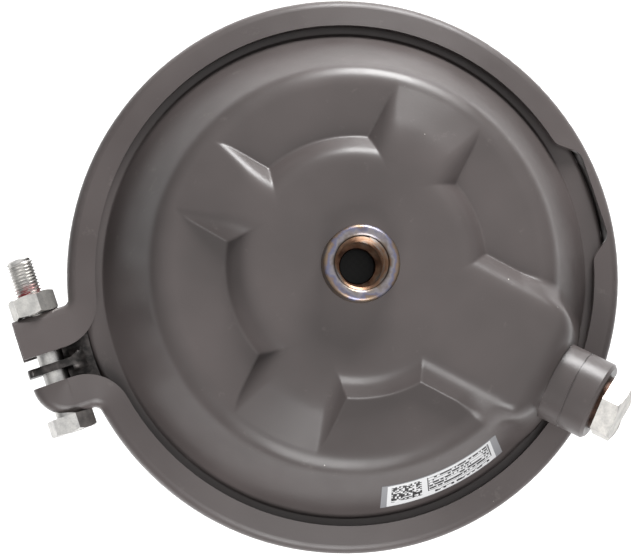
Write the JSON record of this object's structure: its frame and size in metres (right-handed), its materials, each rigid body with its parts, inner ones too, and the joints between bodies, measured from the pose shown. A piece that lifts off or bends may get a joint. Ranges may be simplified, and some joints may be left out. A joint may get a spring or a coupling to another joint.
{
  "type": "air brake chamber",
  "caption": "Diaphragm air brake chamber: two pressed housings in a V-section clamp ring, threaded air ports, sprung push rod with a yoke and pin, studded mounting face.",
  "frame": {"origin": "centre of the mounting face, the flat outer bottom of the non-pressure housing", "axes": "+Z along the chamber axis towards the air port, +X along the line through the two mounting studs; the push rod leaves along -Z"},
  "size_m": [0.1914, 0.172, 0.259],
  "materials": {
    "coated_steel": "semi-matt black dip coat",
    "black_steel": "matt black",
    "tinted_steel": "bare steel with heat tint",
    "zinc": "bright zinc",
    "yellow_zinc": "yellow passivated zinc",
    "copper": "soft copper",
    "label_foil": "silver-white film",
    "rubber": "matt",
    "spring_steel": "black coat"
  },
  "bodies": {
    "housing": {"pressure_housing": "coated_steel", "air_port_ring": "tinted_steel", "side_port_boss": "coated_steel", "plug_seal": "copper", "side_port_plug": "zinc", "label_plate": "label_foil", "clamp_ring": "coated_steel", "clamp_bolt": "zinc", "clamp_nut": "zinc", "gap_insert": "black_steel", "non_pressure_housing": "coated_steel", "stud_plate": "coated_steel", "mounting_studs": "zinc", "dust_seal": "rubber", "return_spring": "spring_steel"},
    "diaphragm_centre": {"diaphragm": "rubber"},
    "rod": {"push_plate": "zinc", "push_rod": "zinc", "rod_lock_nut": "zinc", "clevis": "yellow_zinc"},
    "yoke_pin": {"clevis_pin": "zinc", "pin_washer": "zinc", "split_pin": "zinc"}
  },
  "joints": [
    {"name": "push_rod_slide", "type": "slide", "parent": "housing", "child": "diaphragm_centre", "axis": [0, 0, -1], "range_m": [0, 0.057], "stiffness_N_per_m": 2200, "springref_m": -0.06, "deforming": ["return_spring", "diaphragm"]},
    {"name": "push_rod_tilt", "type": "hinge", "parent": "diaphragm_centre", "child": "rod", "pos_m": [0, 0, 0.0995], "axis": [0, 1, 0], "range_deg": [-3, 3], "stiffness_Nm_per_rad": 12},
    {"name": "yoke_pin_turn", "type": "hinge", "parent": "rod", "child": "yoke_pin", "pos_m": [0, 0, -0.125], "axis": [0, 1, 0], "continuous": true}
  ]
}
